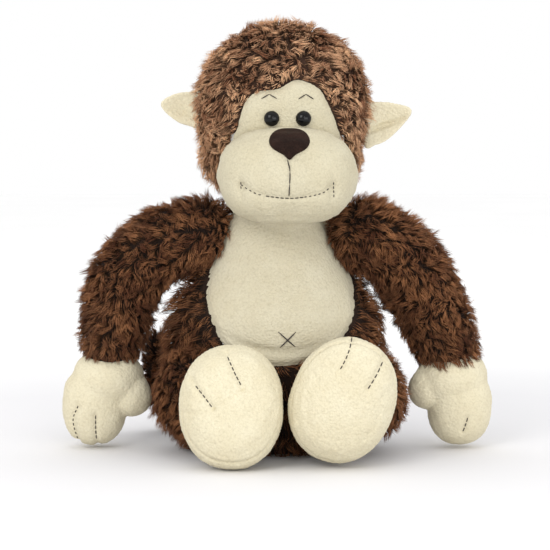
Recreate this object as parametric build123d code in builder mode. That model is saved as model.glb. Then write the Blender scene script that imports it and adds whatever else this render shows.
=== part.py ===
"""Seated plush monkey: fur and terry skins over soft filling, joined by seams that flex.

Millimetres. +Z is up, the monkey faces -Y, its own left is +X.
The origin is the middle of the flat seat that it rests on.
"""

import math
import os

from build123d import *

# ---- skins and clearances ----
FUR = 8.0  # long-pile plush, backing and dense pile together
TERRY = 3.5  # looped terry fleece
INSET = 4.0  # the terry lies this far below the top of the fur beside it
FIT = 0.4  # between a skin and its filling
PLAY = 0.5  # between a joint's ball and its socket
LIMB_PLAY = 4.0  # round a shoulder or hip, filled by pile and by the sewn-in skin
SEAM = 0.3  # between two panels of one skin
THREAD = 0.8  # embroidery thread bundle, radius
FAR = 200.0  # past the edge of anything that a block cuts
FRONT = 90.0  # from the middle of the toy to past its face and belly

# ---- torso: half width and height of each station, seat to collar ----
TORSO_X = -8.0
TORSO_STATIONS = ((71, 0), (84, 22), (88, 60), (84, 105), (75, 124), (59, 150), (43, 180), (34, 196))
TORSO_FLATNESS = 0.74  # depth over width
NECK = (-2.0, -2.0, 196.0)
NECK_RADIUS = 34.0
NECK_BALL = 30.0
NECK_OPENING = 213.0  # height at which the neck of the torso skin ends

POUCH, POUCH_SEMI = (-4.0, 13.0, 30.0), (34.0, 22.0, 15.0)
POUCH_CLOTH = 1.0
STAND_OFF = 0.9  # embroidery lies this far above the skin's pile
NAVEL_STAND_OFF = 2.2  # more, because the belly bulges between its stations
NAVEL, NAVEL_REACH = (1.6, 93.5), 6.0
LADDER_HALF, LADDER_PITCH = 3.0, 9.0
LADDER_HEIGHTS = (90, 99, 108, 117, 126)
LADDER_STAND_OFF = 3.0

# ---- head ----
HEAD = (-2.0, -4.0, 272.0)
HEAD_SEMI = (69.5, 64.0, 69.5)
CHEEKS, CHEEK_SEMI = (-3.0, 0.0, 234.0), (65.0, 54.0, 36.0)
FACE_X = 1.6
MUZZLE = (1.6, -55.0, 221.0)
MUZZLE_SEMI = (54.5, 45.0, 37.0)
EYE_SPREAD, EYE_HEIGHT, EYE_RADIUS = 12.2, 265.0, 5.8
EYE_BULGE = 0.85  # depth over radius
SHANK_RADIUS, SHANK_LENGTH = 2.0, 13.0
SHANK_PROUD = 1.5  # how far the shank reaches into the dome
WASHER_RADIUS, WASHER_THICK = 8.0, 1.5
WASHER_BACK = 8.5  # behind the skin's surface
NOSE = (3.0, 245.0)
NOSE_SEMI = (14.8, 8.0, 12.1)
SATIN = 1.2

FACE = (
    (-38, 248),
    (-37, 259),
    (-31, 278),
    (-21, 286),
    (-6, 288),
    (9, 295),
    (25, 289),
    (32, 279),
    (40, 260),
    (40, 248),
    (1, 236),
)
LIP = ((2, 232), (3.6, 222), (3.2, 206))
SMILE = ((-34, 213.5), (-19, 206), (0, 203), (17, 203.8), (28, 207), (35.5, 212))
BROW_HALF, BROW_HEIGHT, BROW_RISE = 6.0, 280.2, 3.5

# ---- ears ----
EAR_ROOT_Y = -6.0
EAR_HEIGHTS = {"left": 265.0, "right": 273.0}
EAR_SEMI = (19.0, 4.0, 17.0)
EAR_SEWN_OUT = 1.0  # the ear's root lies this far outside the fur
EAR_REACH = 13.5  # centre of the ear disc, out from its root
EAR_ROOT_LENGTH, EAR_ROOT_RADIUS = 22.0, 3.8

# ---- arms: (x, z) of each station and the tube's radius there ----
SHOULDER_BALL, ARM_BALL = 22.0, 32.0
WRIST_BALL = 24.0
SHOULDER_OPENING = 0.6  # of the shoulder ball's radius
ARM_RADII = (30.5, 31.0, 31.0, 30.0, 23.5)
ARM_RIGHT = ((-70, 171), (-101, 163), (-127, 136), (-136, 104), (-143, 68))
ARM_LEFT = ((64, 171), (90, 156), (109, 130), (122, 103), (135, 68))

# ---- hands ----
PALM_SEMI = (26.5, 20.0, 32.5)
THUMB_SEMI = (17.0, 14.0, 18.0)
HEEL_SEMI = (29.0, 24.5, 24.0)
HAND_RIM = 12.0  # the hand's cuff ends this far beyond the wrist's pivot

HANDS = {"left": (141.0, 33.0), "right": (-154.0, 33.0)}
HAND_Y = -3.0
THUMB_OUT, THUMB_TILT = {"left": 25.0, "right": 30.0}, 20.0
THUMB_Y = -5.0
THUMBS = {"left": 15.0, "right": 9.0}  # height of the thumb above the palm's middle
HEEL_DROP = 12.0
FINGER_PLACES, FINGER_RUN = (-12.0, 3.0), (-2.0, -12.0, -22.0)

# ---- legs and feet ----
HIP_BALL, LEG_BALL = 24.0, 36.0
ANKLE_BALL = 30.0
LEG_RADII = (29.5, 28.5)
LEG_SWEEP = (-10, 8, 25)  # degrees up at which the torso makes room for the ankle
SWEEP_PLAY = 2.0
HIP_Y, HIP_Z = -38.0, 48.0
ANKLE_Y, ANKLE_Z = -72.0, 44.0
FOOT_SEMI = (40.5, 27.0, 49.5)
FOOT_Y = -100.0
FOOT_RIM = 10.0
SOLE_DEPTH = 12.0  # the sole's seam lies this far in front of the foot's middle

FEET = {
    "left": ((43.5, FOOT_Y, 51.0), (0, 20, 0)),
    "right": ((-41.5, FOOT_Y, 47.0), (-23, 0, 0)),
}
TOES = {
    "left": (((2, 44), (0, 30), (-1, 14)), ((24, 33), (19, 22), (16, 8))),
    "right": (((0, 46), (5, 34), (10, 20)), ((-24, 30), (-17, 20), (-10, 9))),
}

# ---- tail ----
TAIL_PILE = 0.6  # of the body fur's thickness
TAIL_PLAY = 3.0  # between the tail's root and the torso, for its swing
TAIL_RADIUS, TAIL_BALL, TAIL_TIP = 10.5, 12.0, 11.1
TAIL = (
    (-4, 58, 27),
    (-12, 80, 17),
    (-48, 97, 14),
    (-88, 92, 17),
    (-107, 73, 34),
    (-109, 61, 60),
    (-107, 58, 78),
)

FRONT_POLES, TOP_POLES = (90, 0, 0), (0, 0, 0)  # which way a pad's surface is closed

os.makedirs("parts", exist_ok=True)


def save(part, name):
    """Names a finished piece and writes it."""
    part.label = name
    export_step(part, f"parts/{name}.step")


def ball(centre, radius, poles=(0, 0, 0)):
    with BuildPart() as body:
        with Locations(centre):
            Sphere(radius, rotation=poles)
    return body.part


def ellipsoid(centre, semi, shrink=0.0, tilt=(0, 0, 0), poles=FRONT_POLES):
    """A pad with the given half sizes, made smaller all round by shrink."""
    with BuildPart() as body:
        Sphere(1, rotation=poles)
        scale(by=(semi[0] - shrink, semi[1] - shrink, semi[2] - shrink))
    return body.part.moved(Location(centre, tilt))


def block(low, high):
    """The box between two corners."""
    size = [b - a for a, b in zip(low, high)]
    middle = tuple((a + b) / 2 for a, b in zip(low, high))
    with BuildPart() as body:
        with Locations(middle):
            Box(*size)
    return body.part


def rod(centre, radius, length, along=Axis.Z):
    with BuildPart() as body:
        with BuildSketch(Plane(origin=centre, z_dir=along.direction)):
            Circle(radius)
        extrude(amount=length / 2, both=True)
    return body.part


def outline(points, depth, inset=0.0):
    """A closed outline in the XZ plane, drawn in by inset and pushed towards -Y."""
    middle_x = sum(x for x, _ in points) / len(points)
    middle_z = sum(z for _, z in points) / len(points)
    keep = 1 - inset / max(abs(x - middle_x) for x, _ in points)
    drawn = [(middle_x + (x - middle_x) * keep, middle_z + (z - middle_z) * keep) for x, z in points]
    with BuildPart() as body:
        with BuildSketch(Plane.XZ):
            with BuildLine():
                Spline(*drawn, periodic=True)
            make_face()
        extrude(amount=depth)
    return body.part


def carve(first, *cuts):
    """The first body with every other one taken away."""
    with BuildPart() as body:
        add(first)
        for cut in cuts:
            add(cut, mode=Mode.SUBTRACT)
    return body.part


def join(*bodies):
    with BuildPart() as body:
        for piece in bodies:
            add(piece)
    return body.part


def common(first, second):
    with BuildPart() as body:
        add(first)
        add(second, mode=Mode.INTERSECT)
    return body.part


def thread(*runs):
    """Stitches as separate runs of thread, each through its own points."""
    with BuildPart() as stitches:
        for points in runs:
            with BuildLine() as line:
                Spline(*points)
            with BuildSketch(Plane(origin=line.line @ 0, z_dir=line.line % 0)):
                Circle(THREAD)
            sweep(path=line.line)
    return stitches.part


def front_of(centre, semi, x, z, proud=0.0):
    """The point on a pad's front surface at x and z, standing proud of it."""
    across = (x - centre[0]) / semi[0]
    up = (z - centre[2]) / semi[2]
    return (x, centre[1] - semi[1] * (1 - across**2 - up**2) ** 0.5 - proud, z)


# ---------------------------------------------------------------- torso


def torso_body(shrink=0.0):
    """The torso lofted through flattened rings, with a round neck on top."""
    with BuildPart() as body:
        for half_width, height in TORSO_STATIONS:
            lift = shrink if height == 0 else 0
            with BuildSketch(Plane.XY.offset(height + lift)):
                with Locations((TORSO_X, 0)):
                    Ellipse(half_width - shrink, half_width * TORSO_FLATNESS - shrink)
        loft()
        with Locations(NECK):
            Sphere(NECK_RADIUS - shrink)
    return body.part


BELLY = (
    (-46, 186),
    (-57, 160),
    (-62.5, 127),
    (-52, 93),
    (-30, 77),
    (-6, 72.5),
    (25, 78),
    (50, 97),
    (55.5, 127),
    (46, 160),
    (38, 186),
    (-3, 200),
)


def shoulder(arm):
    return (arm[0][0], 0, arm[0][1])


def wrist(arm):
    return (arm[-1][0], 0, arm[-1][1])


HIPS = {"left": (56.0, HIP_Y, HIP_Z), "right": (-64.0, HIP_Y, HIP_Z)}
ANKLES = {"left": (44.0, ANKLE_Y, ANKLE_Z + 2), "right": (-45.0, ANKLE_Y, ANKLE_Z)}
ARMS = {"left": ARM_LEFT, "right": ARM_RIGHT}
SIDES = {"left": 1, "right": -1}



def raised(side, degrees):
    """The middle of the ankle when the leg is turned up by so many degrees."""
    turn = math.radians(degrees)
    x, y, z = ANKLES[side]
    ahead, above = y - HIP_Y, z - HIP_Z
    return (
        x,
        HIP_Y + ahead * math.cos(turn) + above * math.sin(turn),
        HIP_Z - ahead * math.sin(turn) + above * math.cos(turn),
    )


sockets = [ball(NECK, NECK_BALL + PLAY), ball(TAIL[0], TAIL_BALL + TAIL_PLAY)]
sockets += [ball(shoulder(arm), ARM_BALL + LIMB_PLAY) for arm in ARMS.values()]
sockets += [ball(hip, LEG_BALL + LIMB_PLAY) for hip in HIPS.values()]
sockets += [ball(raised(side, turn), ANKLE_BALL + SWEEP_PLAY) for side in SIDES for turn in LEG_SWEEP]
neck_cut = block((-FAR, -FAR, NECK_OPENING), (FAR, FAR, NECK_OPENING + FAR))

save(carve(torso_body(), torso_body(FUR), outline(BELLY, FRONT), neck_cut, *sockets), "torso_shell")

belly_skin = common(carve(torso_body(INSET), torso_body(FUR)), outline(BELLY, FRONT, SEAM))
save(carve(belly_skin, neck_cut, *sockets), "belly_panel")

pouch_hollow = ellipsoid(POUCH, POUCH_SEMI, -FIT)
save(carve(torso_body(FUR + FIT), pouch_hollow, neck_cut, *sockets), "torso_stuffing")
pouch_inside = ellipsoid(POUCH, POUCH_SEMI, POUCH_CLOTH)
save(carve(ellipsoid(POUCH, POUCH_SEMI), pouch_inside), "pellet_pouch")
save(ellipsoid(POUCH, POUCH_SEMI, POUCH_CLOTH + FIT), "pellets")


def belly_point(x, z):
    """A point on the belly panel, worked out straight from station to station."""
    pairs = zip(TORSO_STATIONS, TORSO_STATIONS[1:])
    low, high = next((a, b) for a, b in pairs if a[1] <= z <= b[1])
    share = (z - low[1]) / (high[1] - low[1])
    half = low[0] + (high[0] - low[0]) * share
    depth = half * TORSO_FLATNESS - INSET
    across = (x - TORSO_X) / (half - INSET)
    return (x, -depth * (1 - across**2) ** 0.5, z)


def navel_point(across, up):
    """Just proud of the belly, at this many times the navel's reach from its middle."""
    x, y, z = belly_point(NAVEL[0] + NAVEL_REACH * across, NAVEL[1] + NAVEL_REACH * up)
    return (x, y - THREAD - NAVEL_STAND_OFF, z)


navel_arms = [[navel_point(way * end, end) for end in (-1, 0, 1)] for way in (-1, 1)]
save(thread(*navel_arms), "navel_stitch")


def ladder_rung(z):
    """One hand stitch across the seam down the back, just behind the fur."""
    y = -belly_point(TORSO_X, z)[1] + INSET + LADDER_STAND_OFF
    return (
        (TORSO_X - LADDER_HALF, y, z),
        (TORSO_X, y + 1, z + LADDER_PITCH / 4),
        (TORSO_X + LADDER_HALF, y, z + LADDER_PITCH / 2),
    )


# The opening that the torso is filled through is closed by hand with ladder stitches.
save(thread(*[ladder_rung(z) for z in LADDER_HEIGHTS]), "back_seam_stitches")


# ---------------------------------------------------------------- neck and head

save(ball(NECK, NECK_BALL), "neck_stuffing")

head_socket = ball(NECK, NECK_RADIUS + PLAY)
muzzle_seam = ellipsoid(MUZZLE, MUZZLE_SEMI, -SEAM)


def head_body(shrink=0.0):
    """The crown and the full cheeks under it."""
    crown = ellipsoid(HEAD, HEAD_SEMI, shrink, poles=TOP_POLES)
    return join(crown, ellipsoid(CHEEKS, CHEEK_SEMI, shrink, poles=TOP_POLES))


def ear_root(side):
    """The middle of the line along which an ear is sewn to the head."""
    out = SIDES[side] * (HEAD_SEMI[0] + EAR_SEWN_OUT)
    return (HEAD[0] + out, EAR_ROOT_Y, EAR_HEIGHTS[side])


ear_grooves = [rod(ear_root(side), EAR_ROOT_RADIUS + PLAY, EAR_ROOT_LENGTH + 2) for side in SIDES]
head_cuts = (outline(FACE, FRONT), muzzle_seam, head_socket, *ear_grooves)
save(carve(head_body(), head_body(FUR), *head_cuts), "head_shell")

eyes = {
    side: front_of(HEAD, [s - INSET for s in HEAD_SEMI], FACE_X + way * EYE_SPREAD, EYE_HEIGHT)
    for side, way in SIDES.items()
}
shank_holes = [
    rod((x, y + SHANK_LENGTH / 2, z), SHANK_RADIUS + FIT, SHANK_LENGTH * 2, Axis.Y)
    for x, y, z in eyes.values()
]
face_skin = carve(ellipsoid(HEAD, HEAD_SEMI, INSET), ellipsoid(HEAD, HEAD_SEMI, FUR, poles=TOP_POLES))
face_skin = common(face_skin, outline(FACE, FRONT, SEAM))
save(carve(face_skin, muzzle_seam, *shank_holes), "face_panel")

head_fit = head_body(FUR - FIT)
muzzle_skin = carve(ellipsoid(MUZZLE, MUZZLE_SEMI), ellipsoid(MUZZLE, MUZZLE_SEMI, TERRY))
save(carve(muzzle_skin, head_fit, head_socket), "muzzle_panel")
save(carve(ellipsoid(MUZZLE, MUZZLE_SEMI, TERRY + FIT), head_fit, head_socket), "muzzle_stuffing")

washer_pockets = [
    rod((x, y + WASHER_BACK, z), WASHER_RADIUS + FIT, WASHER_THICK + 2 * FIT, Axis.Y)
    for x, y, z in eyes.values()
]
head_pockets = (*shank_holes, *washer_pockets, *ear_grooves)
save(carve(head_body(FUR + FIT), head_socket, *head_pockets), "head_stuffing")

for side, (x, y, z) in eyes.items():
    bead = ellipsoid((x, y, z), (EYE_RADIUS, EYE_RADIUS * EYE_BULGE, EYE_RADIUS))
    dome = carve(bead, ellipsoid(HEAD, HEAD_SEMI, INSET - SEAM))
    shank = rod((x, y + SHANK_LENGTH / 2 - SHANK_PROUD, z), SHANK_RADIUS, SHANK_LENGTH, Axis.Y)
    save(join(dome, shank), f"eye_{side}")
    washer = rod((x, y + WASHER_BACK, z), WASHER_RADIUS, WASHER_THICK, Axis.Y)
    hole = rod((x, y + WASHER_BACK, z), SHANK_RADIUS + FIT / 2, WASHER_THICK * 2, Axis.Y)
    save(carve(washer, hole), f"eye_washer_{side}")

nose_centre = front_of(MUZZLE, MUZZLE_SEMI, *NOSE)


def nose_body(shrink):
    """The nose pad on the front of the muzzle, made smaller all round."""
    return carve(ellipsoid(nose_centre, NOSE_SEMI, shrink), ellipsoid(MUZZLE, MUZZLE_SEMI, -SEAM - shrink))


save(carve(nose_body(0), nose_body(SATIN)), "nose_cover")
save(nose_body(SATIN + SEAM), "nose_wadding")


def on_muzzle(points):
    return [front_of(MUZZLE, MUZZLE_SEMI, x, z, THREAD + STAND_OFF) for x, z in points]


def on_face(points):
    semi = [s - INSET for s in HEAD_SEMI]
    return [front_of(HEAD, semi, x, z, THREAD + STAND_OFF) for x, z in points]


def brow(x):
    """An arched brow over an eye at x."""
    return on_face([(x - BROW_HALF, BROW_HEIGHT), (x, BROW_HEIGHT + BROW_RISE), (x + BROW_HALF, BROW_HEIGHT)])


save(thread(on_muzzle(LIP), on_muzzle(SMILE)), "mouth_stitch")
save(thread(*[brow(FACE_X + way * EYE_SPREAD) for way in SIDES.values()]), "brow_stitches")

# ---------------------------------------------------------------- ears

for side, way in SIDES.items():
    root = ear_root(side)
    disc = ellipsoid((root[0] + way * EAR_REACH, root[1], root[2]), EAR_SEMI)
    inner, outer = sorted((root[0], root[0] - way * FAR))
    head_side = block((inner, -FAR, 0), (outer, FAR, 2 * FAR))
    ear = join(carve(disc, head_side), rod(root, EAR_ROOT_RADIUS, EAR_ROOT_LENGTH))
    behind = block((-FAR, root[1] - SEAM / 2, 0), (FAR, FAR, 2 * FAR))
    before = block((-FAR, -FAR, 0), (FAR, root[1] + SEAM / 2, 2 * FAR))
    save(carve(ear, behind), f"ear_front_{side}")
    save(carve(ear, before), f"ear_back_{side}")

# ---------------------------------------------------------------- arms and hands


def tube(stations, radii, shrink, across):
    """A lofted limb through round stations."""
    with BuildLine() as spine:
        if len(stations) > 2:
            Spline(*stations)
        else:
            Line(*stations)
    count = len(radii) - 1
    with BuildPart() as body:
        for index, radius in enumerate(radii):
            at = spine.line @ (index / count)
            way = spine.line % (index / count)
            with BuildSketch(Plane(origin=at, x_dir=across, z_dir=way)):
                Circle(radius - shrink)
        loft()
    return body.part


def limb(stations, radii, balls, shrink, across, poles=TOP_POLES):
    """A tube with a round pad at each end, its balls' radii first and last."""
    return join(
        tube(stations, radii, shrink, across),
        ball(stations[0], balls[0] - shrink, poles),
        ball(stations[-1], balls[1] - shrink, poles),
    )


def arm_body(side, shrink=0.0):
    stations = [(x, 0, z) for x, z in ARMS[side]]
    return limb(stations, ARM_RADII, (ARM_BALL, WRIST_BALL), shrink, (0, 1, 0))


for side, way in SIDES.items():
    root = shoulder(ARMS[side])
    middle = (root[0] - way * ARM_BALL, root[1], root[2])
    opening = rod(middle, SHOULDER_BALL * SHOULDER_OPENING, 2 * ARM_BALL, Axis.X)
    save(ball(root, SHOULDER_BALL), f"shoulder_stuffing_{side}")
    save(carve(arm_body(side), arm_body(side, FUR), opening), f"arm_shell_{side}")
    save(carve(arm_body(side, FUR + FIT), ball(root, SHOULDER_BALL + FIT)), f"arm_stuffing_{side}")


def hand_body(side, shrink=0.0):
    """A mitten: palm, thumb and heel."""
    x, z = HANDS[side]
    way = SIDES[side]
    pivot = wrist(ARMS[side])
    thumb = (x - way * THUMB_OUT[side], THUMB_Y, z + THUMBS[side])
    return join(
        ellipsoid((x, HAND_Y, z), PALM_SEMI, shrink, poles=TOP_POLES),
        ellipsoid(thumb, THUMB_SEMI, shrink, (0, way * THUMB_TILT, 0), TOP_POLES),
        ellipsoid((pivot[0], 0, pivot[2] - HEEL_DROP), HEEL_SEMI, shrink, poles=TOP_POLES),
    )


def finger(side, along):
    """One line of stitches down the front of the palm, this far to one side."""
    x, z = HANDS[side]
    proud = THREAD + STAND_OFF
    return [front_of((x, HAND_Y, z), PALM_SEMI, x + along, z + up, proud) for up in FINGER_RUN]


for side in SIDES:
    pivot = wrist(ARMS[side])
    rim = pivot[2] - HAND_RIM
    sleeve = block((-FAR, -FAR, rim), (FAR, FAR, rim + FAR))
    seat = ball(pivot, WRIST_BALL + PLAY)
    save(carve(hand_body(side), hand_body(side, TERRY), seat, sleeve), f"hand_shell_{side}")
    inner_seat = ball(pivot, WRIST_BALL + PLAY + FIT)
    save(carve(hand_body(side, TERRY + FIT), inner_seat, sleeve), f"hand_stuffing_{side}")
    save(thread(*[finger(side, along) for along in FINGER_PLACES]), f"finger_stitches_{side}")

# ---------------------------------------------------------------- legs and feet



def leg_body(side, shrink=0.0):
    """A short thigh with a round haunch and a round ankle."""
    stations = (HIPS[side], ANKLES[side])
    return limb(stations, LEG_RADII, (LEG_BALL, ANKLE_BALL), shrink, (0, 0, 1), FRONT_POLES)


def foot_body(side, shrink=0.0):
    centre, tilt = FEET[side]
    return ellipsoid(centre, FOOT_SEMI, shrink, tilt)


def toe(side, run):
    """One line of stitches on the sole, in the foot's own frame."""
    return [front_of((0, 0, 0), FOOT_SEMI, *point, THREAD + STAND_OFF) for point in run]


for side in SIDES:
    hip, ankle = HIPS[side], ANKLES[side]
    save(ball(hip, HIP_BALL), f"hip_stuffing_{side}")
    save(carve(leg_body(side), leg_body(side, FUR)), f"leg_shell_{side}")
    save(carve(leg_body(side, FUR + FIT), ball(hip, HIP_BALL + FIT)), f"leg_stuffing_{side}")

    place = Location(*FEET[side])
    behind = block((-FAR, ankle[1] - FOOT_RIM, -FAR), (FAR, FAR, FAR))
    ahead_of_seam = block((-FAR, -FAR, -FAR), (FAR, SEAM / 2 - SOLE_DEPTH, FAR)).moved(place)
    behind_seam = block((-FAR, -SEAM / 2 - SOLE_DEPTH, -FAR), (FAR, FAR, FAR)).moved(place)
    skin = carve(foot_body(side), foot_body(side, TERRY), ball(ankle, ANKLE_BALL + PLAY), behind)
    save(carve(skin, ahead_of_seam), f"foot_upper_{side}")
    save(carve(skin, behind_seam), f"foot_sole_{side}")
    inner_seat = ball(ankle, ANKLE_BALL + PLAY + FIT)
    save(carve(foot_body(side, TERRY + FIT), inner_seat, behind), f"foot_stuffing_{side}")
    save(thread(*[toe(side, run) for run in TOES[side]]).moved(place), f"toe_stitches_{side}")

# ---------------------------------------------------------------- tail


def tail_body(shrink=0.0):
    with BuildLine() as spine:
        Spline(*TAIL)
    with BuildPart() as body:
        with BuildSketch(Plane(origin=spine.line @ 0, z_dir=spine.line % 0)):
            Circle(TAIL_RADIUS - shrink)
        sweep(path=spine.line)
    return join(body.part, ball(TAIL[0], TAIL_BALL - shrink), ball(TAIL[-1], TAIL_TIP - shrink))


save(carve(tail_body(), tail_body(FUR * TAIL_PILE)), "tail_shell")
save(tail_body(FUR * TAIL_PILE + FIT), "tail_stuffing")
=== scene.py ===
import math

import bmesh
import bpy
import numpy as np
from mathutils import Matrix, Vector, kdtree
from mathutils.bvhtree import BVHTree


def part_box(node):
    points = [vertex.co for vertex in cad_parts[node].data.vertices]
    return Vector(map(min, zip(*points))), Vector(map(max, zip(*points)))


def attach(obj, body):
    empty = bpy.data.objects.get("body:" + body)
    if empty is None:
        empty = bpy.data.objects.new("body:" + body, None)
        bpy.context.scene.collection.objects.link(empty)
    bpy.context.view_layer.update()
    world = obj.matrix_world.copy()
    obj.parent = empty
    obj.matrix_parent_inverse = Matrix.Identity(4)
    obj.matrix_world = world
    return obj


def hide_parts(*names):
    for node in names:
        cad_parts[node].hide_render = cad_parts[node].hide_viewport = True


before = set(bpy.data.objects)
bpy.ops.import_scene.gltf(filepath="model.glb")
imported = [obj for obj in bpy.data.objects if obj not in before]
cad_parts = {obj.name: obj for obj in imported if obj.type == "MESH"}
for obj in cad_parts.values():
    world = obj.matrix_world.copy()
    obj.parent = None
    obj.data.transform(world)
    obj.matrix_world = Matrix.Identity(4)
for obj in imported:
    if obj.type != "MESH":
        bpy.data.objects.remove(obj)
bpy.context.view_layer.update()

# Lengths below are in millimetres, and are turned to metres where a mesh is made.
MM = 0.001
SHADES = 5
SIDES = {"left": 1, "right": -1}
A = np.array


# ---------------------------------------------------------------- numbers and noise


def lattice(cell, seed):
    """A repeatable value from 0 to 1 for each whole-number cell."""
    cell = cell.astype(np.int64)
    h = cell[:, 0] * 73856093 ^ cell[:, 1] * 19349663 ^ cell[:, 2] * 83492791 ^ seed * 2654435761
    h = (h ^ (h >> 13)) * 1274126177
    h = h ^ (h >> 16)
    return (h & 0xFFFFFF) / float(0xFFFFFF)


def noise(p, size, seed):
    """Smooth noise from -1 to 1 at points p, with features about size across."""
    q = p / size
    low = np.floor(q)
    f = q - low
    f = f * f * (3 - 2 * f)
    total = np.zeros(len(p))
    for dx in (0, 1):
        for dy in (0, 1):
            for dz in (0, 1):
                share = (
                    (f[:, 0] if dx else 1 - f[:, 0])
                    * (f[:, 1] if dy else 1 - f[:, 1])
                    * (f[:, 2] if dz else 1 - f[:, 2])
                )
                total += share * lattice(low + A([dx, dy, dz]), seed)
    return total * 2 - 1


def noise3(p, size, seed):
    return np.stack([noise(p, size, seed + k) for k in range(3)], axis=1)


def loops(p, size, seed):
    """Rounded knobs from 0 to 1, packed like the loops of terry."""
    q = p / size
    low = np.floor(q)
    near = np.full(len(p), 9.0)
    for dx in (-1, 0, 1):
        for dy in (-1, 0, 1):
            for dz in (-1, 0, 1):
                cell = low + A([dx, dy, dz])
                spot = cell + 0.15 + 0.7 * np.stack([lattice(cell, seed + k) for k in range(3)], axis=1)
                near = np.minimum(near, ((q - spot) ** 2).sum(1))
    return np.clip(1 - near / 0.55, 0, 1)


def bell(x, width):
    """A smooth bump, 1 where x is 0."""
    return np.exp(-((x / width) ** 2))


def xyz(x, y, z):
    """Points from their three coordinates."""
    return np.stack([x, y, z], axis=1)


def circle(count):
    """Angles evenly round a circle."""
    return np.linspace(0, 2 * np.pi, count, endpoint=False)


def unit(v):
    return v / np.maximum(np.linalg.norm(v, axis=-1, keepdims=True), 1e-9)


def through(a, b, c, d):
    """The smooth piece from b to c of a line through a, b, c and d."""
    t = np.linspace(0, 1, 24, endpoint=False)[:, None]
    slow = 2 * a - 5 * b + 4 * c - d
    fast = 3 * b - a - 3 * c + d
    return 0.5 * (2 * b + (c - a) * t + slow * t**2 + fast * t**3)


def even(line, count, endpoint):
    """Points spread evenly along a line."""
    run = np.concatenate([[0], np.cumsum(np.linalg.norm(np.diff(line, axis=0), axis=1))])
    at = np.linspace(0, run[-1], count, endpoint=endpoint)
    return np.stack([np.interp(at, run, line[:, k]) for k in range(line.shape[1])], axis=1)


def curve(points, count):
    """Points along a smooth line through the given ones, evenly spaced."""
    p = A(points, dtype=float)
    p = np.vstack([2 * p[0] - p[1], p, 2 * p[-1] - p[-2]])
    pieces = [through(*p[k - 1 : k + 3]) for k in range(1, len(p) - 2)]
    return even(np.vstack(pieces + [p[-2][None]]), count, True)


def ring_curve(points, count):
    """A closed smooth outline through the given points."""
    p = A(points, dtype=float)
    pieces = np.vstack([through(*(p[(k + j) % len(p)] for j in range(4))) for k in range(len(p))])
    return even(np.vstack([pieces, pieces[:1]]), count, False)


def smooth_fn(xs, ys):
    """A smooth function through stations, given as x and y."""
    fine = curve(list(zip(xs, ys)), 200)
    return lambda x: np.interp(x, fine[:, 0], fine[:, 1])


def inside(outline, x, z):
    """Whether points lie inside a closed outline."""
    hit = np.zeros(len(x), bool)
    a = outline
    b = np.roll(outline, -1, axis=0)
    for (x0, z0), (x1, z1) in zip(a, b):
        if z0 == z1:
            continue
        crosses = (z0 > z) != (z1 > z)
        hit ^= crosses & (x < (x1 - x0) * (z - z0) / (z1 - z0) + x0)
    return hit


def distance_to(outline, x, z, closed=True):
    """Distance from points to a line in the XZ plane."""
    a = outline if closed else outline[:-1]
    b = np.roll(outline, -1, axis=0) if closed else outline[1:]
    best = np.full(len(x), 1e9)
    p = np.stack([x, z], axis=1)
    for s, e in zip(a, b):
        d = e - s
        t = np.clip(((p - s) @ d) / max(d @ d, 1e-9), 0, 1)
        best = np.minimum(best, np.linalg.norm(p - s - t[:, None] * d, axis=1))
    return best


# ---------------------------------------------------------------- meshes


def make(name, verts, faces, smooth=True):
    """A new object from points in millimetres."""
    me = bpy.data.meshes.new(name)
    me.from_pydata((np.asarray(verts) * MM).tolist(), [], [list(map(int, f)) for f in faces])
    me.validate()
    if smooth:
        me.polygons.foreach_set("use_smooth", [True] * len(me.polygons))
    me.update()
    ob = bpy.data.objects.new(name, me)
    bpy.context.scene.collection.objects.link(ob)
    return ob


def get(ob):
    """An object's points and normals, in millimetres."""
    n = len(ob.data.vertices)
    p = np.empty(n * 3)
    ob.data.vertices.foreach_get("co", p)
    q = np.empty(n * 3)
    ob.data.vertices.foreach_get("normal", q)
    return p.reshape(-1, 3) / MM, q.reshape(-1, 3)


def put(ob, p):
    ob.data.vertices.foreach_set("co", (p * MM).ravel())
    ob.data.update()


def bake_modifiers(ob):
    """Applies an object's modifiers."""
    dg = bpy.context.evaluated_depsgraph_get()
    me = bpy.data.meshes.new_from_object(ob.evaluated_get(dg))
    ob.modifiers.clear()
    old = ob.data
    ob.data = me
    bpy.data.meshes.remove(old)
    me.polygons.foreach_set("use_smooth", [True] * len(me.polygons))
    me.update()


def grid_faces(rows, columns, closed=True):
    faces = []
    for r in range(rows - 1):
        for c in range(columns if closed else columns - 1):
            d = (c + 1) % columns
            faces.append((r * columns + c, r * columns + d, (r + 1) * columns + d, (r + 1) * columns + c))
    return faces


def tube_faces(rows, columns):
    """Faces of a closed tube of rings, with a cap at each end."""
    last = (rows - 1) * columns
    caps = [tuple(range(columns))[::-1], tuple(range(last, last + columns))]
    return grid_faces(rows, columns) + caps


def face_outwards(ob):
    bm = bmesh.new()
    bm.from_mesh(ob.data)
    bmesh.ops.recalc_face_normals(bm, faces=bm.faces)
    bm.to_mesh(ob.data)
    bm.free()


def globe(name, level, shape):
    """A closed form: shape turns unit directions into points."""
    bm = bmesh.new()
    bmesh.ops.create_icosphere(bm, subdivisions=level, radius=1)
    d = A([v.co[:] for v in bm.verts])
    faces = [[v.index for v in f.verts] for f in bm.faces]
    bm.free()
    return make(name, shape(unit(d)), faces)


def turned(tilt):
    """The rotation by the given degrees about X and then about Y."""
    return A(Matrix.Rotation(math.radians(tilt[1]), 3, "Y") @ Matrix.Rotation(math.radians(tilt[0]), 3, "X"))


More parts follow.
